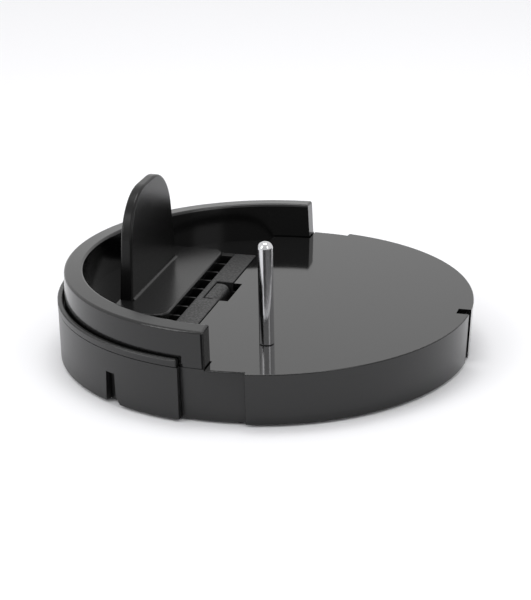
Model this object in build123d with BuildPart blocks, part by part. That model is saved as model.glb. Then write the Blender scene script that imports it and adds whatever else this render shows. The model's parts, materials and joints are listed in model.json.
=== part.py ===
from build123d import *
import os
from math import cos, radians, sin, tan

os.makedirs("parts", exist_ok=True)

# ---------------------------------------------------------------- driving dimensions (mm)
# X runs from the paddle side to the notched side, Y along the latch bar, Z up from the floor.
outer_radius = 100.0          # rim of the cover and of the rear skirt
seat_gap = 1.0                # the cover stands this far off the housing along X
housing_x = -seat_gap / 2
cover_x = seat_gap / 2
plate_top = 26.0              # top face of the cover plate
rim_bottom = 1.3              # lower edge of every skirt
deck_top = 23.8               # floor of the recess behind the fence
deck_thickness = 2.4
fit_gap = 0.3                 # room between pieces that move apart
small_edge = 0.3
joint_line = 0.05             # room of a snug sliding fit
far = 200.0                   # longer than the whole base, for cuts that run right through
overrun = 1.0                 # a cut starts this far outside the face that it opens

core_top_radius = 97.2        # drum wall, drawn in towards its lower edge
core_bottom_radius = 96.2
core_wall = 2.4
tray_floor_bottom = 4.0
tray_floor_top = 6.2
post_radius = 4.0             # posts that take the base screws
post_top = 13.0
post_screw_depth = 7.0
opening_left = -62.6          # hole in the deck for the bed and the latch well
opening_right = -9.0
opening_half = 54.2

plate_thickness = plate_top - deck_top - fit_gap
plate_under = plate_top - plate_thickness
rim_lip = 0.7                 # the plate thins to this where it lies on the drum wall
strip_gap = 0.1
strip_top = plate_top - rim_lip - strip_gap
strip_inset = 1.6             # room for the cover's full thickness to pass the drum wall
cover_bottom_radius = 98.5
cover_skirt_angle = 80.0      # the cover's skirt ends this far either side of +X
plate_edge_x = -19.7          # straight edge beside the latch bar
window_x = -15.5              # far edge of the finger window
window_half = 12.4
notch_depth = 6.2
notch_half = 3.2
notch_room = 0.4              # the housing's notch is wider than the cover's on each side
rim_round = 0.4
seam_round = 0.5              # the upright edges where two outer walls meet
tongue_y = 35.0               # two tongues under the latch bar
tongue_length = 9.0
tongue_width = 12.0
tongue_thickness = 1.8

skirt_angle = 97.2            # the rear skirt starts this far either side of +X
skirt_inner_radius = 97.6
skirt_bottom_radius = 99.6
skirt_top = plate_top + 0.4
rail_top = plate_top + 4.3
rail_bottom = skirt_top + 0.4
rail_inner_radius = 97.4
rail_round = 0.9
rail_outer_radius = outer_radius
slot_angle = 119.2            # cord slots in the rear skirt
slot_top = plate_top - 10.0
slot_width = 6.0
slot_mouth = 8.9
groove_depth = 1.5            # the rail's tongue stands in this groove
groove_width = 0.8
groove_radius = rail_inner_radius + 1.0

fence_inner_radius = 87.0
fence_inner_base = 88.0
fence_outer_base = 96.8
fence_outer_top = 96.3
fence_top_inner = plate_top + 18.0
fence_top_outer = plate_top + 17.4
fence_end_x = -1.0            # the fence's end faces lean back from here
fence_end_lean = 0.5
fence_edge_round = 1.2
fence_screw_radius = 91.2
fence_screw_depth = 10.0

bar_left = -31.5
bar_right = -20.3
bar_half = 53.3
bar_top = plate_top + 0.5
bar_thickness = 2.3
bar_overhang = 2.0            # the bar's near edge covers the bed's right wall by this much
bar_leg = 5.0                 # each end of the bar stands on a leg of this width
bar_lug = 8.5                 # the leg's foot reaches this far outward under the deck
flange_thickness = 2.0
bed_flange = 7.5              # the bed's flange reaches this far outward under the deck

well_right = -11.9
well_floor_bottom = 10.6
well_floor_top = 12.0
well_rim = 21.4
well_wall = 1.5

bed_left = -62.3
bed_right = bar_left + bar_overhang - 0.2
bed_bottom = 19.4
bed_floor = 2.0
pocket_count = 8
pocket_pitch = 12.3
rib_thickness = 1.0
bed_wall = 1.5

foot_bottom = bar_top + 0.4
foot_top = plate_top + 4.4
foot_left = -63.0
foot_right = -35.1
foot_half = 48.0
foot_corner = 6.0
foot_edge = 0.9
fin_left = -62.9
fin_right = -56.4
fin_half = 33.5
fin_lean = 6.8                # degrees that each end of the fin leans inward
fin_top = plate_top + 54.4
fin_shoulder = 24.0           # radius of the fin's top corners
fin_draft = 0.9               # degrees on each face of the fin
fin_edge = 1.2
fin_root = 1.4                # concave fillet where the fin meets the foot
stem_x = -47.0
stem_length = 10.0
stem_width = 4.4
stem_room = 0.1               # play of each stem in its slot
stem_y = 2.5 * pocket_pitch
paddle_back = 8.0             # travel away from the bar
paddle_forward = 3.3          # travel towards the bar

pin_x = 17.5
pin_y = -60.0
pin_radius = 3.5
pin_top = plate_top + 49.0
pin_dome = 3.1
pin_foot_round = 0.5
pin_shank = 2.6
screw_shank = 1.5
screw_thin = 1.2
screw_head = 2.8
screw_head_height = 1.8
skirt_screw_z = 11.0

pivot_x = -26.6
pivot_z = 19.4
pivot_radius = 1.0
pivot_play = 0.05
tab_left = -27.7
tab_right = -21.0
tab_half = 11.0
tab_back = 9.0                # the tab is shorter towards the back
tab_nose = 4.0
tab_gap = 0.8

base_plate_bottom = 1.6
base_plate_top = 3.6
foot_pad_radius = 7.0
foot_pad_circle = 80.0
foot_pad_recess = 0.8
ballast_radius = 76.0
ballast_thickness = 5.0


def plan(height):
    """A horizontal sketch plane centred on the housing."""
    return Plane.XY.offset(height)


def housing_section():
    """The vertical X-Z plane through the housing's centre; local x is the radius."""
    return Plane(origin=(housing_x, 0, 0), x_dir=(1, 0, 0), z_dir=(0, -1, 0))


def cover_section():
    """The vertical X-Z plane through the cover's centre; local x is the radius."""
    return Plane(origin=(cover_x, 0, 0), x_dir=(1, 0, 0), z_dir=(0, -1, 0))


def housing_axis():
    return Axis((housing_x, 0, 0), (0, 0, 1))


def cover_axis():
    return Axis((cover_x, 0, 0), (0, 0, 1))


def trim_left_of(x):
    """Take away what the current sketch has at a lower x."""
    with Locations((x - far / 2, 0)):
        Rectangle(far, 2 * far, mode=Mode.SUBTRACT)


def trim_right_of(x):
    """Take away what the current sketch has at a higher x."""
    with Locations((x + far / 2, 0)):
        Rectangle(far, 2 * far, mode=Mode.SUBTRACT)


def rim_notch(half):
    """Draw the notch's plan outline, open past the rim."""
    with Locations((cover_x + outer_radius - notch_depth + 10, 0)):
        Rectangle(20, 2 * half)


def front_sector(half_angle, centre_x, reach=far):
    """Plan outline of everything within half_angle of +X, as points."""
    a = radians(half_angle)
    return [(centre_x, 0), (centre_x + reach * cos(a), -reach * sin(a)), (reach, -reach),
            (reach, reach), (centre_x + reach * cos(a), reach * sin(a))]


def around(angle, distance, centre_x=housing_x):
    """Plan position at an angle and distance from a centre on the X axis."""
    return (centre_x + distance * cos(radians(angle)), distance * sin(radians(angle)))


def wall_plane(angle, distance):
    """A vertical plane facing outward from the housing's centre at an angle."""
    return Plane(origin=(*around(angle, distance), skirt_screw_z),
                 x_dir=(-sin(radians(angle)), cos(radians(angle)), 0),
                 z_dir=(cos(radians(angle)), sin(radians(angle)), 0))


skirt_screw_angles = (105, 150, 210, 255)
fence_screw_spots = [around(a, fence_screw_radius) for a in (104, 142, 180, 218, 256)]
base_post_spots = [around(a, 84.0) for a in (30, 90, 142, 218, 270, 330)]
pad_spots = [around(a, foot_pad_circle) for a in (55, 125, 235, 305)]
under_deck = deck_top - deck_thickness
deck_screw_depth = deck_thickness - 0.6
skirt_screw_seat = 93.8       # the drum wall's counterbores end at this radius
skirt_screw_reach = 5.0
bed_screw_spots = [(-56.0, 57.0), (-56.0, -57.0), (-38.0, 57.0), (-38.0, -57.0)]
bar_screw_spots = [(-26.0, 57.0), (-26.0, -57.0)]
deck_post_spots = base_post_spots[2:4]  # these two reach up to the deck
stem_spots = [(stem_x, stem_y), (stem_x, -stem_y)]


def pan_screws(spots, head_bottom, head_height, shank_top, head_radius=screw_head):
    """A group of pan-head screws driven up from below."""
    with BuildPart() as group:
        with BuildSketch(plan(head_bottom)):
            with Locations(*spots):
                Circle(head_radius)
        extrude(amount=head_height)
        fillet(group.edges().group_by(Axis.Z)[0], 0.4)
        with BuildSketch(plan(head_bottom + head_height)):
            with Locations(*spots):
                Circle(screw_shank)
        extrude(amount=shank_top - head_bottom - head_height)
    return group


# ---------------------------------------------------------------- core housing
# A drum: a round wall, an open tray under the cover, a cross wall beside the tray
# and posts for the base screws.
cross_wall_x = opening_right + core_wall / 2
core_inner_at_deck = core_top_radius - core_wall - fit_gap

with BuildPart() as core_housing:
    with BuildSketch(housing_section()):
        with BuildLine():
            Polyline((core_bottom_radius - core_wall, rim_bottom), (core_bottom_radius, rim_bottom),
                     (core_top_radius, plate_top), (core_top_radius - core_wall, plate_top),
                     close=True)
        make_face()
    revolve(axis=housing_axis())
    with BuildSketch(plan(strip_top)):
        with Locations((fence_end_x + far / 2, 0)):
            Rectangle(far, 2 * far)
    extrude(amount=far, mode=Mode.SUBTRACT)
    with BuildSketch(plan(deck_top)):
        Polygon(*front_sector(cover_skirt_angle + 0.2, cover_x), align=None)
    extrude(amount=far, mode=Mode.SUBTRACT)
    with BuildSketch(plan(tray_floor_bottom)):
        with Locations((housing_x, 0)):
            Circle(core_bottom_radius - core_wall / 2)
        trim_left_of(opening_right)
    extrude(amount=tray_floor_top - tray_floor_bottom)
    with BuildSketch(plan(tray_floor_bottom)):
        with Locations((cross_wall_x, 0)):
            Rectangle(core_wall, 2 * (core_bottom_radius - core_wall))
    extrude(amount=under_deck - tray_floor_bottom)
    with BuildSketch(plan(base_plate_top)):
        with Locations(*base_post_spots):
            Circle(post_radius)
    extrude(amount=post_top - base_plate_top)
    with BuildSketch(plan(base_plate_top)):
        with Locations(*deck_post_spots):
            Circle(post_radius)
    extrude(amount=under_deck - base_plate_top)
    with BuildSketch(plan(base_plate_top - overrun)):
        with Locations(*base_post_spots):
            Circle(screw_shank)
    extrude(amount=post_screw_depth + 2 * overrun, mode=Mode.SUBTRACT)
    with BuildSketch(plan(0)):
        rim_notch(notch_half + notch_room)
    extrude(amount=far, mode=Mode.SUBTRACT)
    for angle in skirt_screw_angles:
        with BuildSketch(wall_plane(angle, skirt_screw_seat - 2 * screw_head_height)):
            Circle(screw_head)
        extrude(amount=2 * screw_head_height, mode=Mode.SUBTRACT)
        with BuildSketch(wall_plane(angle, skirt_screw_seat - overrun)):
            Circle(screw_thin)
        extrude(amount=8, mode=Mode.SUBTRACT)
core_housing.part.label = "core_housing"
export_step(core_housing.part, "parts/core_housing.step")

# ---------------------------------------------------------------- rear deck
# The floor of the recess, welded to the cross wall and the two tall posts inside the drum.
with BuildPart() as rear_deck:
    with BuildSketch(plan(under_deck)):
        with Locations((housing_x, 0)):
            Circle(core_inner_at_deck)
        trim_right_of(opening_right + core_wall)
        with Locations(((opening_left + opening_right) / 2, 0)):
            Rectangle(opening_right - opening_left, 2 * opening_half, mode=Mode.SUBTRACT)
        with Locations((cross_wall_x, 0)):
            Rectangle(2 * core_wall, 2 * (window_half + 2 * well_wall), mode=Mode.SUBTRACT)
        with Locations(*fence_screw_spots):
            Circle(screw_shank, mode=Mode.SUBTRACT)
    extrude(amount=deck_thickness)
    with BuildSketch(plan(under_deck - overrun)):
        with Locations(*bed_screw_spots, *bar_screw_spots):
            Circle(screw_shank)
    extrude(amount=deck_screw_depth + overrun, mode=Mode.SUBTRACT)
rear_deck.part.label = "rear_deck"
export_step(rear_deck.part, "parts/rear_deck.step")

# ---------------------------------------------------------------- base plate and what is on it
with BuildPart() as base_plate:
    with BuildSketch(plan(base_plate_bottom)):
        with Locations((housing_x, 0)):
            Circle(core_bottom_radius - core_wall - 0.4)
    extrude(amount=base_plate_top - base_plate_bottom)
    with BuildSketch(plan(base_plate_bottom)):
        with Locations(*pad_spots):
            Circle(foot_pad_radius)
    extrude(amount=foot_pad_recess, mode=Mode.SUBTRACT)
    with BuildSketch(plan(base_plate_bottom)):
        with Locations(*base_post_spots):
            Circle(screw_shank)
    extrude(amount=far, mode=Mode.SUBTRACT)
    with BuildSketch(plan(0)):
        rim_notch(notch_half + notch_room)
    extrude(amount=far, mode=Mode.SUBTRACT)
base_plate.part.label = "base_plate"
export_step(base_plate.part, "parts/base_plate.step")

with BuildPart() as rubber_feet:
    with BuildSketch(plan(0)):
        with Locations(*pad_spots):
            Circle(foot_pad_radius)
    extrude(amount=base_plate_bottom + foot_pad_recess)
    chamfer(rubber_feet.edges().group_by(Axis.Z)[0], 0.4)
rubber_feet.part.label = "rubber_feet"
export_step(rubber_feet.part, "parts/rubber_feet.step")

base_screws = pan_screws(base_post_spots, base_plate_bottom - 1.0, 1.0,
                         base_plate_top + post_screw_depth)
base_screws.part.label = "base_screws"
export_step(base_screws.part, "parts/base_screws.step")

# A steel weight lying on the base plate under the recess, where it balances the upright load.
with BuildPart() as ballast_weight:
    with BuildSketch(plan(base_plate_top)):
        with Locations((housing_x, 0)):
            Circle(ballast_radius)
        trim_right_of(opening_right - 6)
    extrude(amount=ballast_thickness)
    chamfer(ballast_weight.faces().sort_by(Axis.Z)[-1].edges(), 0.6)
ballast_weight.part.label = "ballast_weight"
export_step(ballast_weight.part, "parts/ballast_weight.step")

# ---------------------------------------------------------------- curved fence
# A half ring whose flat top falls slightly outward; its foot steps over the drum wall.
with BuildPart() as curved_fence:
    with BuildSketch(housing_section()):
        with BuildLine():
            Polyline((fence_inner_base, deck_top), (core_inner_at_deck, deck_top),
                     (core_inner_at_deck, plate_top), (fence_outer_base, plate_top),
                     (fence_outer_top, fence_top_outer), (fence_inner_radius, fence_top_inner),
                     close=True)
        make_face()
    revolve(axis=housing_axis())
    lean = fence_end_lean / (fence_top_outer - plate_top)
    split(bisect_by=Plane(origin=(fence_end_x, 0, plate_top), x_dir=(0, 1, 0), z_dir=(1, 0, lean)),
          keep=Keep.BOTTOM)
    high = curved_fence.edges().filter_by(
        lambda e: e.center().Z > plate_top + 6 and e.bounding_box().min.Z > plate_top - joint_line)
    fillet(high, fence_edge_round)
    with BuildSketch(plan(deck_top - overrun)):
        with Locations(*fence_screw_spots):
            Circle(screw_shank)
    extrude(amount=fence_screw_depth + 2 * overrun, mode=Mode.SUBTRACT)
curved_fence.part.label = "curved_fence"
export_step(curved_fence.part, "parts/curved_fence.step")

fence_screws = pan_screws(fence_screw_spots, under_deck - screw_head_height, screw_head_height,
                          deck_top + fence_screw_depth)
fence_screws.part.label = "fence_screws"
export_step(fence_screws.part, "parts/fence_screws.step")

# ---------------------------------------------------------------- rear skirt and its rail
with BuildPart() as rear_skirt:
    with BuildSketch(housing_section()):
        with BuildLine():
            Polyline((skirt_inner_radius - 0.7, rim_bottom), (skirt_bottom_radius, rim_bottom),
                     (outer_radius - 0.1, skirt_top), (skirt_inner_radius, skirt_top), close=True)
        make_face()
    revolve(axis=housing_axis())
    with BuildSketch(plan(0)):
        Polygon(*front_sector(skirt_angle, housing_x), align=None)
    extrude(amount=far, mode=Mode.SUBTRACT)
    for side in (-1, 1):
        a = radians(side * slot_angle)
        flare = (side * sin(a), -side * cos(a), 0)      # towards the skirt's near end
        with BuildSketch(Plane(origin=(*around(side * slot_angle, 80), 0), x_dir=flare,
                               z_dir=(cos(a), sin(a), 0))):
            with BuildLine():
                up = -side
                Polyline((-slot_width / 2 - 0.8, up * (rim_bottom - 1)), (-slot_width / 2, up * slot_top),
                         (slot_width / 2 - 0.3, up * slot_top), (slot_width / 2, up * (rim_bottom + 4)),
                         (slot_mouth - slot_width / 2, up * (rim_bottom - 1)), close=True)
            make_face()
        extrude(amount=30, mode=Mode.SUBTRACT)
    for angle in skirt_screw_angles:
        with BuildSketch(wall_plane(angle, skirt_screw_seat)):
            Circle(screw_thin)
        extrude(amount=skirt_screw_reach, mode=Mode.SUBTRACT)
    with BuildSketch(plan(skirt_top - groove_depth)):
        with Locations((housing_x, 0)):
            Circle(groove_radius + groove_width)
            Circle(groove_radius, mode=Mode.SUBTRACT)
        Polygon(*front_sector(skirt_angle + 1, housing_x), align=None, mode=Mode.SUBTRACT)
    extrude(amount=far, mode=Mode.SUBTRACT)
rear_skirt.part.label = "rear_skirt"
export_step(rear_skirt.part, "parts/rear_skirt.step")

with BuildPart() as skirt_rail:
    with BuildSketch(housing_section()):
        with BuildLine():
            Polyline((rail_inner_radius, rail_bottom), (rail_outer_radius, rail_bottom),
                     (rail_outer_radius, rail_top), (rail_inner_radius, rail_top), close=True)
        make_face()
    revolve(axis=housing_axis())
    with BuildSketch(plan(rail_bottom)):
        Polygon(*front_sector(skirt_angle + 0.3, housing_x), align=None)
    extrude(amount=far, mode=Mode.SUBTRACT)
    fillet(skirt_rail.edges().filter_by(Axis.Z), seam_round)
    fillet(skirt_rail.edges().group_by(Axis.Z)[-1], rail_round)
    tongue_foot = skirt_top - groove_depth + joint_line
    with BuildSketch(plan(tongue_foot)):
        with Locations((housing_x, 0)):
            Circle(groove_radius + groove_width - joint_line)
            Circle(groove_radius + joint_line, mode=Mode.SUBTRACT)
        Polygon(*front_sector(skirt_angle + 1.1, housing_x), align=None, mode=Mode.SUBTRACT)
    extrude(amount=rail_bottom - tongue_foot + rail_round / 2)
skirt_rail.part.label = "skirt_rail"
export_step(skirt_rail.part, "parts/skirt_rail.step")

# Screws driven outward through the drum wall into the skirt.
with BuildPart() as skirt_screws:
    for angle in skirt_screw_angles:
        with BuildSketch(wall_plane(angle, skirt_screw_seat - screw_head_height)):
            Circle(screw_head - joint_line)
        extrude(amount=screw_head_height)
        with BuildSketch(wall_plane(angle, skirt_screw_seat)):
            Circle(screw_thin)
        extrude(amount=skirt_screw_reach)
skirt_screws.part.label = "skirt_screws"
export_step(skirt_screws.part, "parts/skirt_screws.step")

# ---------------------------------------------------------------- ribbed bed
# A tray of guide pockets; its ribs run along X and carry the paddle's foot.
bed_inner_left = bed_left + bed_wall
bed_inner_right = bed_right - bed_wall
bed_floor_top = bed_bottom + bed_floor
pocket_length = bed_inner_right - bed_inner_left
slot_low = stem_x - stem_length / 2 - paddle_back - fit_gap
slot_high = stem_x + stem_length / 2 + paddle_forward + fit_gap
pocket_centres = [((bed_inner_left + bed_inner_right) / 2, (i - (pocket_count - 1) / 2) * pocket_pitch)
                  for i in range(pocket_count)]
flange_bottom = under_deck - flange_thickness

with BuildPart() as ribbed_bed:
    with BuildSketch(plan(bed_bottom)):
        with Locations(((bed_left + bed_right) / 2, 0)):
            Rectangle(bed_right - bed_left, 2 * bar_half)
    extrude(amount=bar_top - bed_bottom)
    with BuildSketch(plan(flange_bottom)):
        with Locations(((bed_left + bed_right) / 2, 0)):
            Rectangle(bed_right - bed_left, 2 * (bar_half + bed_flange))
    extrude(amount=flange_thickness)
    with BuildSketch(plan(bed_floor_top)):
        with Locations(*pocket_centres):
            Rectangle(pocket_length, pocket_pitch - rib_thickness)
    extrude(amount=far, mode=Mode.SUBTRACT)
    with BuildSketch(plan(bed_bottom - overrun)):
        with Locations(((slot_low + slot_high) / 2, stem_y), ((slot_low + slot_high) / 2, -stem_y)):
            Rectangle(slot_high - slot_low, stem_width + 2 * stem_room)
        with Locations(*bed_screw_spots):
            Circle(screw_shank)
    extrude(amount=bed_floor + 2 * overrun + flange_bottom - bed_bottom, mode=Mode.SUBTRACT)
    with BuildSketch(plan(bar_top - bar_thickness - strip_gap)):
        with Locations((bar_left - strip_gap + far / 2, 0)):
            Rectangle(far, 2 * far)
    extrude(amount=far, mode=Mode.SUBTRACT)
    chamfer(ribbed_bed.faces().sort_by(Axis.Z)[-1].edges().group_by(Axis.X)[0], small_edge)
ribbed_bed.part.label = "ribbed_bed"
export_step(ribbed_bed.part, "parts/ribbed_bed.step")

bed_screws = pan_screws(bed_screw_spots, flange_bottom - screw_head_height, screw_head_height,
                        under_deck + deck_screw_depth)
bed_screws.part.label = "bed_screws"
export_step(bed_screws.part, "parts/bed_screws.step")

# ---------------------------------------------------------------- latch bar with its well
bar_middle = (bar_left + bar_right) / 2
bar_width = bar_right - bar_left
block_left = bar_left + bar_overhang
block_middle = (block_left + bar_right) / 2
block_width = bar_right - block_left
well_outside = well_right + well_wall
cutout_left = tab_left - tab_gap
cutout_front = -tab_half - tab_gap
cutout_back = tab_half + 1.4  # a wider gap at this end shows the tab's side
pivot_half = window_half + 1.3
pivot_end = Plane(origin=(pivot_x, -pivot_half, pivot_z), x_dir=(1, 0, 0), z_dir=(0, 1, 0))
with BuildPart() as latch_bar:
    with BuildSketch(plan(bar_top - bar_thickness)):
        with Locations((bar_middle, 0)):
            Rectangle(bar_width, 2 * bar_half)
    extrude(amount=bar_thickness)
    for side in (-1, 1):
        with BuildSketch(plan(flange_bottom)):
            with Locations((block_middle, side * (bar_half - bar_leg / 2))):
                Rectangle(block_width, bar_leg)
        extrude(amount=bar_top - bar_thickness - flange_bottom)
        with BuildSketch(plan(flange_bottom)):
            with Locations((block_middle, side * (bar_half + (bar_lug - bar_leg) / 2))):
                Rectangle(block_width, bar_leg + bar_lug)
        extrude(amount=flange_thickness)
    with BuildSketch(plan(well_floor_bottom)):
        with Locations(((block_left + well_outside) / 2, 0)):
            Rectangle(well_outside - block_left, 2 * (window_half + well_wall))
    extrude(amount=well_rim - well_floor_bottom)
    with BuildSketch(plan(well_floor_bottom)):
        with Locations((block_middle, 0)):
            Rectangle(block_width, 2 * (window_half + well_wall))
    extrude(amount=bar_top - bar_thickness - well_floor_bottom)
    with BuildSketch(plan(well_floor_top)):
        with Locations(((cutout_left + well_right) / 2, (cutout_front + cutout_back) / 2)):
            Rectangle(well_right - cutout_left, cutout_back - cutout_front)
    extrude(amount=far, mode=Mode.SUBTRACT)
    with BuildSketch(pivot_end):
        Circle(pivot_radius)
    extrude(amount=2 * pivot_half, mode=Mode.SUBTRACT)
    with BuildSketch(plan(flange_bottom - overrun)):
        with Locations(*bar_screw_spots):
            Circle(screw_shank)
    extrude(amount=flange_thickness + 2 * overrun, mode=Mode.SUBTRACT)
    chamfer(latch_bar.faces().sort_by(Axis.Z)[-1].edges(), small_edge)
latch_bar.part.label = "latch_bar"
export_step(latch_bar.part, "parts/latch_bar.step")

bar_screws = pan_screws(bar_screw_spots, flange_bottom - screw_head_height, screw_head_height,
                        under_deck + deck_screw_depth)
bar_screws.part.label = "bar_screws"
export_step(bar_screws.part, "parts/bar_screws.step")

with BuildPart() as latch_pivot:
    with BuildSketch(pivot_end):
        Circle(pivot_radius)
    extrude(amount=2 * pivot_half)
latch_pivot.part.label = "latch_pivot"
export_step(latch_pivot.part, "parts/latch_pivot.step")

# ---------------------------------------------------------------- latch tab
# Pressing the rounded nose lowers the arm; its nib stands behind the cover's keeper rib.
arm_bottom = 17.4
arm_top = 19.4
nib_left = -13.9
nib_right = -12.4
nib_top = 21.5
nib_slope = 0.6
arm_half = 5.0
keeper_bottom = nib_top + fit_gap
keeper_left = -15.5
keeper_right = nib_left - fit_gap
tab_plane = Plane(origin=(0, tab_back, 0), x_dir=(1, 0, 0), z_dir=(0, -1, 0))

with BuildPart() as latch_tab:
    with BuildSketch(tab_plane):
        with BuildLine():
            nose_start = tab_right - tab_nose
            Polyline((nose_start, bar_top), (tab_left, bar_top), (tab_left, arm_bottom),
                     (tab_right, arm_bottom), (tab_right, bar_top - tab_nose))
            RadiusArc((tab_right, bar_top - tab_nose), (nose_start, bar_top), -tab_nose)
        make_face()
    extrude(amount=tab_half + tab_back)
    fillet(latch_tab.edges().filter_by(Axis.Y).group_by(Axis.Z)[-1].sort_by(Axis.X)[0], small_edge)
    with BuildSketch(Plane(origin=(0, arm_half, 0), x_dir=(1, 0, 0), z_dir=(0, -1, 0))):
        with BuildLine():
            Polyline((tab_right - 1, arm_bottom), (nib_right, arm_bottom),
                     (nib_right, nib_top - nib_slope), (nib_right - nib_slope, nib_top),
                     (nib_left, nib_top), (nib_left, arm_top), (tab_right - 1, arm_top), close=True)
        make_face()
    extrude(amount=2 * arm_half)
    with BuildSketch(pivot_end):
        Circle(pivot_radius + pivot_play)
    extrude(amount=2 * pivot_half, mode=Mode.SUBTRACT)
latch_tab.part.label = "latch_tab"
export_step(latch_tab.part, "parts/latch_tab.step")

# A small coil spring standing on the well's floor under the arm.
spring_x = -19.5
spring_wire = 0.35
spring_radius = 2.0
spring_turns = 4
spring_height = arm_bottom - well_floor_top - 2 * spring_wire - 2 * joint_line
with BuildPart() as latch_spring:
    with BuildLine(Plane(origin=(spring_x, 0, well_floor_top + spring_wire + joint_line))):
        coil = Helix(pitch=spring_height / spring_turns, height=spring_height, radius=spring_radius)
    with BuildSketch(Plane(origin=coil @ 0, z_dir=coil % 0)):
        Circle(spring_wire)
    sweep(path=coil, is_frenet=True)
latch_spring.part.label = "latch_spring"
export_step(latch_spring.part, "parts/latch_spring.step")

# ---------------------------------------------------------------- cover
# A plate with a skirt that wraps the drum within 80 degrees of +X. Tongues on its straight edge
# sit under the latch bar, so it slides along +X to come off.
inside_radius = fence_inner_radius - fit_gap
tongue_top = bar_top - bar_thickness - fit_gap
tongue_x = plate_edge_x - 1.5
tongue_right = tongue_x + tongue_length / 2

with BuildPart() as cover_wrap:
    with BuildSketch(cover_section()):
        with BuildLine():
            Polyline((0, plate_under), (cover_bottom_radius - 0.6, plate_under),
                     (cover_bottom_radius - 1.7, rim_bottom), (cover_bottom_radius, rim_bottom),
                     (outer_radius, plate_top), (0, plate_top), close=True)
        make_face()
    revolve(axis=cover_axis())
    with BuildSketch(plan(0)):
        Polygon(*front_sector(cover_skirt_angle, cover_x), align=None)
    extrude(amount=far, mode=Mode.INTERSECT)
    fillet(cover_wrap.edges().filter_by(
        lambda e: plate_top - rim_bottom < e.length < plate_top - rim_bottom + overrun), seam_round)

with BuildPart() as cover_plate:
    with BuildSketch(plan(plate_under)):
        with Locations((housing_x, 0)):
            Circle(inside_radius)
        trim_left_of(plate_edge_x)
    extrude(amount=plate_thickness)
    with BuildSketch(plan(plate_under)):
        with Locations((housing_x, 0)):
            Circle(core_top_radius - core_wall - strip_inset)
        trim_left_of(fence_end_x + 2 * fit_gap)
    extrude(amount=plate_thickness)
    with BuildSketch(plan(plate_top - rim_lip)):
        with Locations((housing_x, 0)):
            Circle(core_top_radius)
        trim_left_of(fence_end_x + 2 * fit_gap)
    extrude(amount=rim_lip)
    add(cover_wrap.part)
    rim = cover_plate.edges().group_by(Axis.Z)[-1].filter_by(GeomType.CIRCLE)
    fillet(rim.filter_by(lambda e: e.radius > core_top_radius - overrun), rim_round)
    with BuildSketch(plan(plate_under - overrun)):
        with Locations(((plate_edge_x - overrun + window_x) / 2, 0)):
            Rectangle(window_x - plate_edge_x + overrun, 2 * window_half)
    extrude(amount=far, mode=Mode.SUBTRACT)
    with BuildSketch(plan(0)):
        rim_notch(notch_half)
    extrude(amount=far, mode=Mode.SUBTRACT)
    with BuildSketch(plan(tongue_top - tongue_thickness)):
        with Locations(*[(tongue_x, y) for y in (tongue_y, -tongue_y)]):
            Rectangle(tongue_length, tongue_width)
    extrude(amount=tongue_thickness)
    with BuildSketch(plan(tongue_top)):
        with Locations(*[((plate_edge_x + tongue_right) / 2, y) for y in (tongue_y, -tongue_y)]):
            Rectangle(tongue_right - plate_edge_x, tongue_width)
    extrude(amount=plate_under - tongue_top)
    with BuildSketch(plan(keeper_bottom)):
        with Locations(((keeper_left + keeper_right) / 2, 0)):
            Rectangle(keeper_right - keeper_left, 2 * arm_half + 2)
    extrude(amount=plate_under - keeper_bottom)
    with BuildSketch(plan(plate_under - overrun)):
        with Locations((pin_x, pin_y)):
            Circle(pin_shank + joint_line)
    extrude(amount=plate_thickness + 2 * overrun, mode=Mode.SUBTRACT)
cover_plate.part.label = "cover_plate"
export_step(cover_plate.part, "parts/cover_plate.step")

# ---------------------------------------------------------------- locating pin and its fixing
backing_bottom = plate_under - 2.5
washer_bottom = backing_bottom - 1.0
washer_radius = 5.5
pin_thread_top = plate_top + 8.0
pin_head = 3.2
pin_head_height = 2.4

with BuildPart() as locating_pin:
    with BuildSketch(plan(plate_top)):
        with Locations((pin_x, pin_y)):
            Circle(pin_radius)
    extrude(amount=pin_top - plate_top)
    fillet(locating_pin.edges().group_by(Axis.Z)[-1], pin_dome)
    fillet(locating_pin.edges().group_by(Axis.Z)[0], pin_foot_round)
    with BuildSketch(plan(backing_bottom)):
        with Locations((pin_x, pin_y)):
            Circle(pin_shank)
    extrude(amount=plate_top - backing_bottom)
    with BuildSketch(plan(backing_bottom - overrun)):
        with Locations((pin_x, pin_y)):
            Circle(screw_shank)
    extrude(amount=pin_thread_top - backing_bottom + overrun, mode=Mode.SUBTRACT)
locating_pin.part.label = "locating_pin"
export_step(locating_pin.part, "parts/locating_pin.step")

with BuildPart() as pin_backing_plate:
    with BuildSketch(plan(backing_bottom)):
        with Locations((pin_x, pin_y)):
            RectangleRounded(32, 26, 4)
            Circle(pin_shank + joint_line, mode=Mode.SUBTRACT)
    extrude(amount=plate_under - backing_bottom)
pin_backing_plate.part.label = "pin_backing_plate"
export_step(pin_backing_plate.part, "parts/pin_backing_plate.step")

with BuildPart() as pin_washer:
    with BuildSketch(plan(washer_bottom)):
        with Locations((pin_x, pin_y)):
            Circle(washer_radius)
            Circle(screw_shank + joint_line, mode=Mode.SUBTRACT)
    extrude(amount=backing_bottom - washer_bottom)
pin_washer.part.label = "pin_washer"
export_step(pin_washer.part, "parts/pin_washer.step")

pin_screw = pan_screws([(pin_x, pin_y)], washer_bottom - pin_head_height, pin_head_height,
                       pin_thread_top, head_radius=pin_head)
pin_screw.part.label = "pin_screw"
export_step(pin_screw.part, "parts/pin_screw.step")

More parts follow.
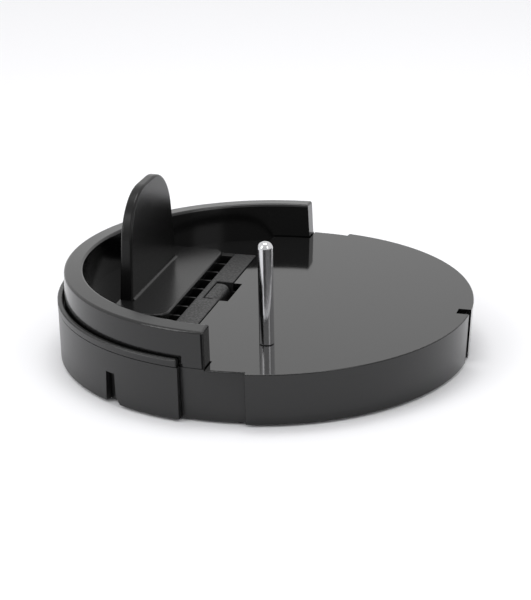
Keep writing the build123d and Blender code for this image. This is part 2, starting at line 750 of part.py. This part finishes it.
# ---------------------------------------------------------------- paddle
# An upright fin on the edge of a flat foot. Two stems pass through the bed to a runner below.
runner_top = bed_bottom - 1.2
runner_thickness = 2.0
runner_width = 20.0
runner_screw_depth = 6.0
pad_length = 14.0
pad_width = 8.0
fin_base_z = foot_bottom + 0.5
fin_base_half = fin_half + (foot_top - fin_base_z) * tan(radians(fin_lean))
shoulder_z = fin_top - fin_shoulder
side_z = shoulder_z + fin_shoulder * sin(radians(fin_lean))
side_y = fin_half - (side_z - foot_top) * tan(radians(fin_lean))
shoulder_y = side_y - fin_shoulder * cos(radians(fin_lean))

with BuildPart() as paddle:
    with BuildSketch(plan(foot_bottom)) as foot_outline:
        with Locations(((foot_left + foot_right) / 2, 0)):
            Rectangle(foot_right - foot_left, 2 * foot_half)
        fillet(foot_outline.vertices().group_by(Axis.X)[-1], foot_corner)
    extrude(amount=foot_top - foot_bottom)
    border = paddle.faces().sort_by(Axis.Z)[-1].edges().sort_by(Axis.X)[1:]
    fillet(border, foot_edge)
    with BuildSketch(Plane(origin=(fin_left, 0, 0), x_dir=(0, 1, 0), z_dir=(1, 0, 0))):
        with BuildLine():
            Polyline((-side_y, side_z), (-fin_base_half, fin_base_z), (fin_base_half, fin_base_z),
                     (side_y, side_z))
            CenterArc((shoulder_y, shoulder_z), fin_shoulder, fin_lean, 90 - fin_lean)
            Line((shoulder_y, fin_top), (-shoulder_y, fin_top))
            CenterArc((-shoulder_y, shoulder_z), fin_shoulder, 90, 90 - fin_lean)
        make_face()
    extrude(amount=fin_right - fin_left)
    for face_x, facing in ((fin_left, -1), (fin_right, 1)):
        draft_plane = Plane(origin=(face_x, 0, foot_top), x_dir=(0, 1, 0),
                            z_dir=(facing, 0, tan(radians(fin_draft))))
        with BuildSketch(draft_plane):
            with Locations((0, facing * 40)):
                Rectangle(100, 80)
        extrude(amount=5, mode=Mode.SUBTRACT)
    fillet(paddle.edges().filter_by(lambda e: e.center().Z > foot_top + 2), fin_edge)
    with BuildSketch(Plane(origin=(0, fin_half - fin_edge, 0), x_dir=(1, 0, 0), z_dir=(0, -1, 0))):
        with BuildLine():
            RadiusArc((fin_right - 0.1, foot_top + fin_root), (fin_right + fin_root, foot_top),
                      -fin_root * 1.05)
            Polyline((fin_right + fin_root, foot_top), (fin_right + fin_root, foot_top - 0.3),
                     (fin_right - 0.5, foot_top - 0.3), (fin_right - 0.5, foot_top + fin_root),
                     (fin_right - 0.1, foot_top + fin_root))
        make_face()
    extrude(amount=2 * (fin_half - fin_edge))
    with BuildSketch(plan(runner_top)):
        with Locations(*stem_spots):
            Rectangle(stem_length, stem_width)
    extrude(amount=foot_bottom - runner_top)
    with BuildSketch(plan(runner_top - overrun)):
        with Locations(*stem_spots):
            Circle(screw_shank)
    extrude(amount=runner_screw_depth + 2 * overrun, mode=Mode.SUBTRACT)
paddle.part.label = "paddle"
export_step(paddle.part, "parts/paddle.step")

# The runner hangs below the bed's floor; its pads rub there and hold the paddle where it is put.
with BuildPart() as paddle_runner:
    with BuildSketch(plan(runner_top - runner_thickness)):
        with Locations((stem_x, 0)):
            RectangleRounded(runner_width, 2 * stem_y + 14, 3)
            with Locations((0, stem_y), (0, -stem_y)):
                Circle(screw_shank, mode=Mode.SUBTRACT)
    extrude(amount=runner_thickness)
paddle_runner.part.label = "paddle_runner"
export_step(paddle_runner.part, "parts/paddle_runner.step")

with BuildPart() as friction_pads:
    with BuildSketch(plan(runner_top)):
        with Locations((stem_x, stem_y - pad_length), (stem_x, pad_length - stem_y)):
            Rectangle(pad_length, pad_width)
    extrude(amount=bed_bottom - joint_line - runner_top)
friction_pads.part.label = "friction_pads"
export_step(friction_pads.part, "parts/friction_pads.step")

runner_screws = pan_screws(stem_spots, runner_top - runner_thickness - screw_head_height,
                           screw_head_height, runner_top + runner_screw_depth)
runner_screws.part.label = "runner_screws"
export_step(runner_screws.part, "parts/runner_screws.step")
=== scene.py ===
import json
from math import cos, pi, radians, sin

import bmesh
import bpy
from mathutils import Matrix, Vector


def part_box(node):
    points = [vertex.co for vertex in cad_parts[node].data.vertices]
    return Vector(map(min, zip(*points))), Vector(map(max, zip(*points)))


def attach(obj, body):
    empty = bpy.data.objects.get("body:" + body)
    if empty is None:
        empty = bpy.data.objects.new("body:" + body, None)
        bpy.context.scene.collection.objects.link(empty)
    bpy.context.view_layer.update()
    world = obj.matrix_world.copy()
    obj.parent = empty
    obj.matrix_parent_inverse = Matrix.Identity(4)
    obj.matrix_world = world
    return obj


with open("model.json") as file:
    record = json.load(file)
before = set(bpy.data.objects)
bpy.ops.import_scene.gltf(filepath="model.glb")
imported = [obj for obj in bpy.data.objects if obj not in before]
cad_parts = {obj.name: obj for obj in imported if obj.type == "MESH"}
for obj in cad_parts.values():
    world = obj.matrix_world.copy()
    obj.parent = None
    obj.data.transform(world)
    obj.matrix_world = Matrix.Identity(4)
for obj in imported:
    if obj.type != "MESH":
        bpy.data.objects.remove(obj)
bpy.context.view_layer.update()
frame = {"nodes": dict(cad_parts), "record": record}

MM = 0.001
MICRON = 0.001 * MM
GRAIN_UNIT = 100 * MICRON  # the depth that a height of 1 stands for in the moulded plastics

cover_shift = 0.5 * MM  # the cover's arc is struck from this far along X
cover_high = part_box("cover_plate")[1]
outer_radius = cover_high.x - cover_shift
cover_centre = Vector((cover_shift, 0, cover_high.z))


# ---------------------------------------------------------------- shader building
class Shade:
    """One output of a shader node; arithmetic on it adds Math nodes beside it."""

    def __init__(self, graph, output):
        self.graph = graph
        self.output = output

    def _math(self, operation, first, second):
        return self.graph.node("ShaderNodeMath", {"operation": operation}, {0: first, 1: second})

    def __add__(self, other):
        return self._math("ADD", self, other)

    def __radd__(self, other):
        return self._math("ADD", other, self)

    def __sub__(self, other):
        return self._math("SUBTRACT", self, other)

    def __rsub__(self, other):
        return self._math("SUBTRACT", other, self)

    def __mul__(self, other):
        return self._math("MULTIPLY", self, other)

    def __rmul__(self, other):
        return self._math("MULTIPLY", other, self)


class Graph:
    """The node tree of one material or of the world."""

    def __init__(self, tree):
        self.tree = tree
        tree.nodes.clear()

    def node(self, kind, settings=None, sockets=None, output=0):
        """Adds a node, sets its settings, then its sockets, and returns one of its outputs."""
        made = self.tree.nodes.new(kind)
        for name, value in (settings or {}).items():
            setattr(made, name, value)
        for key, value in (sockets or {}).items():
            if isinstance(value, Shade):
                self.tree.links.new(value.output, made.inputs[key])
            else:
                made.inputs[key].default_value = value
        return Shade(self, made.outputs[output]) if len(made.outputs) else None

    def place(self, stretch=(1, 1, 1)):
        """The point being shaded, in the object's own frame, in metres."""
        where = self.node("ShaderNodeTexCoord", output="Object")
        return self.node("ShaderNodeVectorMath", {"operation": "MULTIPLY"}, {0: where, 1: stretch})

    def noise(self, per_metre, detail=2.0, stretch=(1, 1, 1)):
        """Soft noise from 0 to 1 with so many features to a metre."""
        sockets = {"Vector": self.place(stretch), "Scale": per_metre, "Detail": detail}
        return self.node("ShaderNodeTexNoise", {}, sockets)

    def grains(self, per_metre):
        """Round grains: the distance to the nearest of many scattered points."""
        return self.node("ShaderNodeTexVoronoi", {}, {"Vector": self.place(), "Scale": per_metre})

    def bump(self, height, strength, depth):
        """A surface normal from a height field; depth is its full height in metres."""
        sockets = {"Height": height, "Strength": strength, "Distance": depth}
        return self.node("ShaderNodeBump", {}, sockets)

    def tint(self, amount, dark, light):
        """A colour between two others."""
        return self.node("ShaderNodeMix", {"data_type": "RGBA"}, {0: amount, 6: dark, 7: light}, output=2)


def grey(level):
    """A grey that is very slightly blue."""
    return (level, level, level * 1.02, 1)


def finish_material(name, graph_for, **fixed):
    """Makes a material. graph_for gives what varies over the surface, fixed what is the same all over."""
    material = bpy.data.materials.new(name)
    material.use_nodes = True
    graph = Graph(material.node_tree)
    sockets = {key.replace("_", " ").title().replace("Ior", "IOR"): value for key, value in fixed.items()}
    sockets.update(graph_for(graph))
    surface = graph.node("ShaderNodeBsdfPrincipled", {}, sockets)
    graph.node("ShaderNodeOutputMaterial", {}, {"Surface": surface})
    return material


def moulded_plastic(name, level, roughness, grain_per_metre, grain_depth, ripple_depth=0.0, **fixed):
    """Black moulded plastic: spark texture, slow ripple from the tool and a slightly uneven sheen."""
    def varying(graph):
        cloud = graph.noise(28, 3)
        fine = graph.noise(grain_per_metre * 0.35, 2)
        grain = graph.grains(grain_per_metre) + fine * 0.6
        height = grain * (grain_depth / GRAIN_UNIT) + graph.noise(60, 1) * (ripple_depth / GRAIN_UNIT)
        return {"Base Color": graph.tint(cloud, grey(level * 0.85), grey(level * 1.2)),
                "Roughness": roughness * (0.86 + 0.28 * cloud),
                "Normal": graph.bump(height, 1.0, GRAIN_UNIT)}
    return finish_material(name, varying, **fixed)


def sparked_plastic(name, level, roughness):
    """Coarse eroded texture: shallow craters of several sizes; the crests are a little glossier and carry a
    painted glint, their colour lighter as if catching the light.
    """
    def varying(graph):
        craters = graph.noise(900, 3)
        pits = graph.grains(2100)
        painted_glint_crest = graph.node("ShaderNodeMapRange", {}, {0: craters, 1: 0.42, 2: 0.62, 3: 0.0, 4: 1.0})
        # painted glint: the crests' base colour is lighter, standing in for the light they catch
        return {"Base Color": graph.tint(painted_glint_crest, grey(level * 0.5), grey(level * 1.8)),
                "Roughness": roughness * (1.15 - 0.35 * painted_glint_crest),
                "Normal": graph.bump(craters + pits * 0.25, 1.0, 160 * MICRON)}
    return finish_material(name, varying)


def turned_steel(name, level, roughness):
    """Ground bar stock: fine rings around the bar, a faint lengthwise grain and small pits."""
    def varying(graph):
        rings = graph.noise(2600, 3, stretch=(0.08, 0.08, 1))
        length = graph.noise(900, 2, stretch=(1, 1, 0.03))
        specks = graph.noise(3200, 3)
        pits = graph.node("ShaderNodeMapRange", {}, {0: specks, 1: 0.60, 2: 0.72, 3: 0.0, 4: 1.0})
        return {"Base Color": graph.tint(pits, grey(level * 1.08), grey(level * 0.45)),
                "Roughness": roughness * (0.75 + 0.3 * rings + 0.3 * length),
                "Normal": graph.bump(rings + specks - pits * 0.8, 1.0, 12 * MICRON)}
    return finish_material(name, varying, metallic=1.0)


def cast_metal(name, level, roughness, metallic):
    """Plated or cast metal with a mottled surface."""
    def varying(graph):
        mottle = graph.noise(180, 4)
        return {"Base Color": graph.tint(mottle, grey(level * 0.7), grey(level * 1.2)),
                "Roughness": roughness * (0.8 + 0.4 * mottle),
                "Normal": graph.bump(mottle, 0.6, 50 * MICRON)}
    return finish_material(name, varying, metallic=metallic)


FINISHES = {
    "plate_black": moulded_plastic("plate_black", level=0.0035, roughness=0.07, grain_per_metre=5200,
                                   grain_depth=0.5 * MICRON, ripple_depth=1.0 * MICRON),
    "gloss_black": moulded_plastic("gloss_black", level=0.0030, roughness=0.15, grain_per_metre=5200,
                                   grain_depth=1.0 * MICRON, ripple_depth=2.0 * MICRON),
    "paddle_black": moulded_plastic("paddle_black", level=0.0032, roughness=0.25, grain_per_metre=5200,
                                    grain_depth=1.5 * MICRON, ripple_depth=2.0 * MICRON, ior=1.34),
    "satin_black": moulded_plastic("satin_black", level=0.0060, roughness=0.34, grain_per_metre=3600,
                                   grain_depth=6.0 * MICRON),
    "bed_black": moulded_plastic("bed_black", level=0.0040, roughness=0.36, grain_per_metre=4200,
                                 grain_depth=4.0 * MICRON),
    "textured_black": sparked_plastic("textured_black", level=0.0100, roughness=0.44),
    "rubber": moulded_plastic("rubber_black", level=0.0100, roughness=0.62, grain_per_metre=3000,
                              grain_depth=12.0 * MICRON),
    "polished_steel": turned_steel("pin_steel", level=0.56, roughness=0.13),
    "screw_steel": cast_metal("screw_steel", level=0.50, roughness=0.30, metallic=1.0),
    "weight_iron": cast_metal("weight_iron", level=0.060, roughness=0.55, metallic=0.8),
}

for subpart in frame["record"]["subparts"]:
    node = frame["nodes"][subpart["node"]]
    finish = FINISHES[subpart["material_slot"]]
    if not node.material_slots:
        node.data.materials.append(finish)
    for slot in node.material_slots:
        slot.material = finish


# ---------------------------------------------------------------- painted shade of the screws' cross drives
drive_reach = 1.5 * MM       # from the middle of a screw's head to the tip of its cross
pin_drive_reach = 1.8 * MM
drive_depth = 0.03 * MM      # how far the cross goes into the head, and stands out of it
drive_half_width = 0.2       # as a share of the reach
drive_tip = 0.72             # the tip's width as a share of the root's
drive_taper = 1.12           # how much larger the cross is at its inner end
screw_apart = 8 * MM         # points of one screw's head are all nearer to each other than this


def cross_outline(reach, half):
    """The twelve corners of a plus sign, with tips a little narrower than its root."""
    tip = half * drive_tip
    quarter = [(half, half), (reach, tip), (reach, -tip)]
    corners = []
    for turn in range(4):
        c, s = round(cos(turn * pi / 2)), round(sin(turn * pi / 2))
        corners += [(x * c + y * s, y * c - x * s) for x, y in quarter]
    return corners


def painted_drive_shades(node, body, reach):
    """Painted shade of cross drives: a thin dark plus, half sunk into the face of each of the node's screw
    heads, where a real recess would lie in shadow.
    """
    screws = frame["nodes"][node]
    points = [screws.matrix_world @ v.co for v in screws.data.vertices]
    face = min(p.z for p in points)
    heads = []
    for p in points:
        near = [h for h in heads if (h[0] - Vector((p.x, p.y))).length < screw_apart]
        if near:
            near[0][1].append(p)
        else:
            heads.append((Vector((p.x, p.y)), [p]))
    work = bmesh.new()
    for _, group in heads:
        middle_x = (min(p.x for p in group) + max(p.x for p in group)) / 2
        middle_y = (min(p.y for p in group) + max(p.y for p in group)) / 2
        rims = []
        outline = cross_outline(reach, reach * drive_half_width)
        for grow, z in ((1.0, face - drive_depth), (drive_taper, face + drive_depth)):
            rims.append([work.verts.new((middle_x + x * grow, middle_y + y * grow, z)) for x, y in outline])
        work.faces.new(rims[0])
        for i in range(len(outline)):
            j = (i + 1) % len(outline)
            work.faces.new((rims[0][i], rims[0][j], rims[1][j], rims[1][i]))
    mesh = bpy.data.meshes.new(node + "_painted_drive_shade")
    bmesh.ops.recalc_face_normals(work, faces=work.faces)
    work.to_mesh(mesh)
    work.free()
    piece = bpy.data.objects.new(node + "_painted_drive_shade", mesh)
    bpy.context.scene.collection.objects.link(piece)
    # dark rubber plus: painted shade where a real cross recess would lie in shadow
    mesh.materials.append(FINISHES["rubber"])
    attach(piece, body)


for node in ("base_screws", "bed_screws", "bar_screws", "fence_screws"):
    painted_drive_shades(node, "base", drive_reach)
painted_drive_shades("runner_screws", "paddle", drive_reach)
painted_drive_shades("pin_screw", "cover", pin_drive_reach)


# ---------------------------------------------------------------- floor, light and camera
view_azimuth = radians(16.17)
view_elevation = radians(20.69)
view_roll = radians(-1.06)
view_distance = 1013.84 * MM
view_right = -0.59 * MM              # how far the camera stands beside the line to the plate's centre
view_up = -2.33 * MM
floor_reach = 3.0
floor_level = -0.1 * MM              # just under the feet, so that no two faces share a plane
lamp_distance = 0.9
card_level = 0.5 * MM
near_card = outer_radius + 69 * MM   # the pin's reflections fall from here outwards, the walls' nearer in
far_card = outer_radius + 900 * MM
card_steps = 12


def pale_floor():
    """A wide sheet of pale paper."""
    mesh = bpy.data.meshes.new("floor")
    sides = ((-1, -1), (1, -1), (1, 1), (-1, 1))
    corners = [(x * floor_reach, y * floor_reach, floor_level) for x, y in sides]
    mesh.from_pydata(corners, [], [(0, 1, 2, 3)])
    floor = bpy.data.objects.new("floor", mesh)
    bpy.context.scene.collection.objects.link(floor)

    def varying(graph):
        return {"Base Color": graph.tint(graph.noise(3), grey(0.85), grey(0.87))}
    mesh.materials.append(finish_material("floor_paper", varying, roughness=0.8, specular_ior_level=0.1))


def softbox(name, azimuth, elevation, width, height, power):
    """A soft rectangular light that points at the object and is hidden from the camera."""
    light = bpy.data.lights.new(name, "AREA")
    light.shape = "RECTANGLE"
    light.size = width
    light.size_y = height
    light.energy = power
    lamp = bpy.data.objects.new(name, light)
    turn = Matrix.Rotation(radians(azimuth), 4, "Z") @ Matrix.Rotation(radians(90 - elevation), 4, "X")
    lamp.matrix_world = Matrix.Translation(cover_centre) @ turn @ Matrix.Translation((0, 0, lamp_distance))
    lamp.visible_camera = False
    bpy.context.scene.collection.objects.link(lamp)


def band_card(name, left, right, level):
    """A card lying on the floor outside the rim, seen only in reflections. Its two ends are
    given in degrees about the pin, from the direction of the camera."""
    low_pin, high_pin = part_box("locating_pin")
    pin = (low_pin + high_pin) / 2
    corners = []
    for i in range(card_steps + 1):
        turn = view_azimuth - pi / 2 + radians(left + (right - left) * i / card_steps)
        along = pin.x * cos(turn) + pin.y * sin(turn)
        across = pin.x * sin(turn) - pin.y * cos(turn)
        for radius in (near_card, far_card):
            reach = (radius ** 2 - across ** 2) ** 0.5 - along
            corners.append((pin.x + reach * cos(turn), pin.y + reach * sin(turn), card_level))
    faces = [(2 * i, 2 * i + 2, 2 * i + 3, 2 * i + 1) for i in range(card_steps)]
    mesh = bpy.data.meshes.new(name)
    mesh.from_pydata(corners, [], faces)
    paper = finish_material(name, lambda graph: {}, base_color=grey(0.0), roughness=1.0,
                            emission_color=grey(level), emission_strength=1.0)
    mesh.materials.append(paper)
    card = bpy.data.objects.new(name, mesh)
    bpy.context.scene.collection.objects.link(card)
    card.visible_camera = False
    card.visible_diffuse = False
    card.visible_shadow = False
    card.visible_transmission = False


def white_surround():
    """An even white cove. In reflections it is dimmer on the near side, where the side lamps stand;
    the camera itself sees it plain."""
    world = bpy.data.worlds.new("white_surround")
    world.use_nodes = True
    bpy.context.scene.world = world
    graph = Graph(world.node_tree)
    towards = graph.node("ShaderNodeTexCoord", output="Generated")
    away = (-sin(view_azimuth), cos(view_azimuth), 0)
    depth = graph.node("ShaderNodeVectorMath", {"operation": "DOT_PRODUCT"}, {0: towards, 1: away},
                       output="Value")
    near = graph.node("ShaderNodeMapRange", {}, {0: depth, 1: -0.10, 2: -0.60, 3: 0.0, 4: 1.0})
    level = 1.0 - 0.25 * near
    sky = graph.node("ShaderNodeBackground", {}, {"Color": (1, 1, 1, 1), "Strength": level})
    plain = graph.node("ShaderNodeBackground", {}, {"Color": (1, 1, 1, 1), "Strength": 1.0})
    seen = graph.node("ShaderNodeLightPath", output="Is Camera Ray")
    both = graph.node("ShaderNodeMixShader", {}, {0: seen, 1: sky, 2: plain})
    graph.node("ShaderNodeOutputWorld", {}, {"Surface": both})


def camera():
    """The camera stands a metre away and a little above, turned towards the plate's centre."""
    data = bpy.data.cameras.new("camera")
    data.sensor_width = 36
    data.lens = 125.46
    data.sensor_fit = "AUTO"
    eye = bpy.data.objects.new("camera", data)
    turn = Matrix.Rotation(view_azimuth, 4, "Z") @ Matrix.Rotation(pi / 2 - view_elevation, 4, "X")
    turn = turn @ Matrix.Rotation(view_roll, 4, "Z")
    offset = Matrix.Translation((view_right, view_up, view_distance))
    eye.matrix_world = Matrix.Translation(cover_centre) @ turn @ offset
    bpy.context.scene.collection.objects.link(eye)
    bpy.context.scene.camera = eye


pale_floor()
white_surround()
softbox("overhead_lamp", azimuth=16, elevation=98, width=0.50, height=0.3, power=2.4)
softbox("left_lamp", azimuth=-41, elevation=32, width=0.36, height=0.6, power=1.7)
softbox("right_lamp", azimuth=56, elevation=32, width=0.30, height=0.6, power=0.9)
band_card("dark_card", left=-36, right=4, level=0.01)
band_card("grey_card", left=4, right=70, level=0.12)
band_card("end_card", left=70, right=115, level=0.03)
camera()
bpy.context.scene.view_settings.view_transform = "Standard"
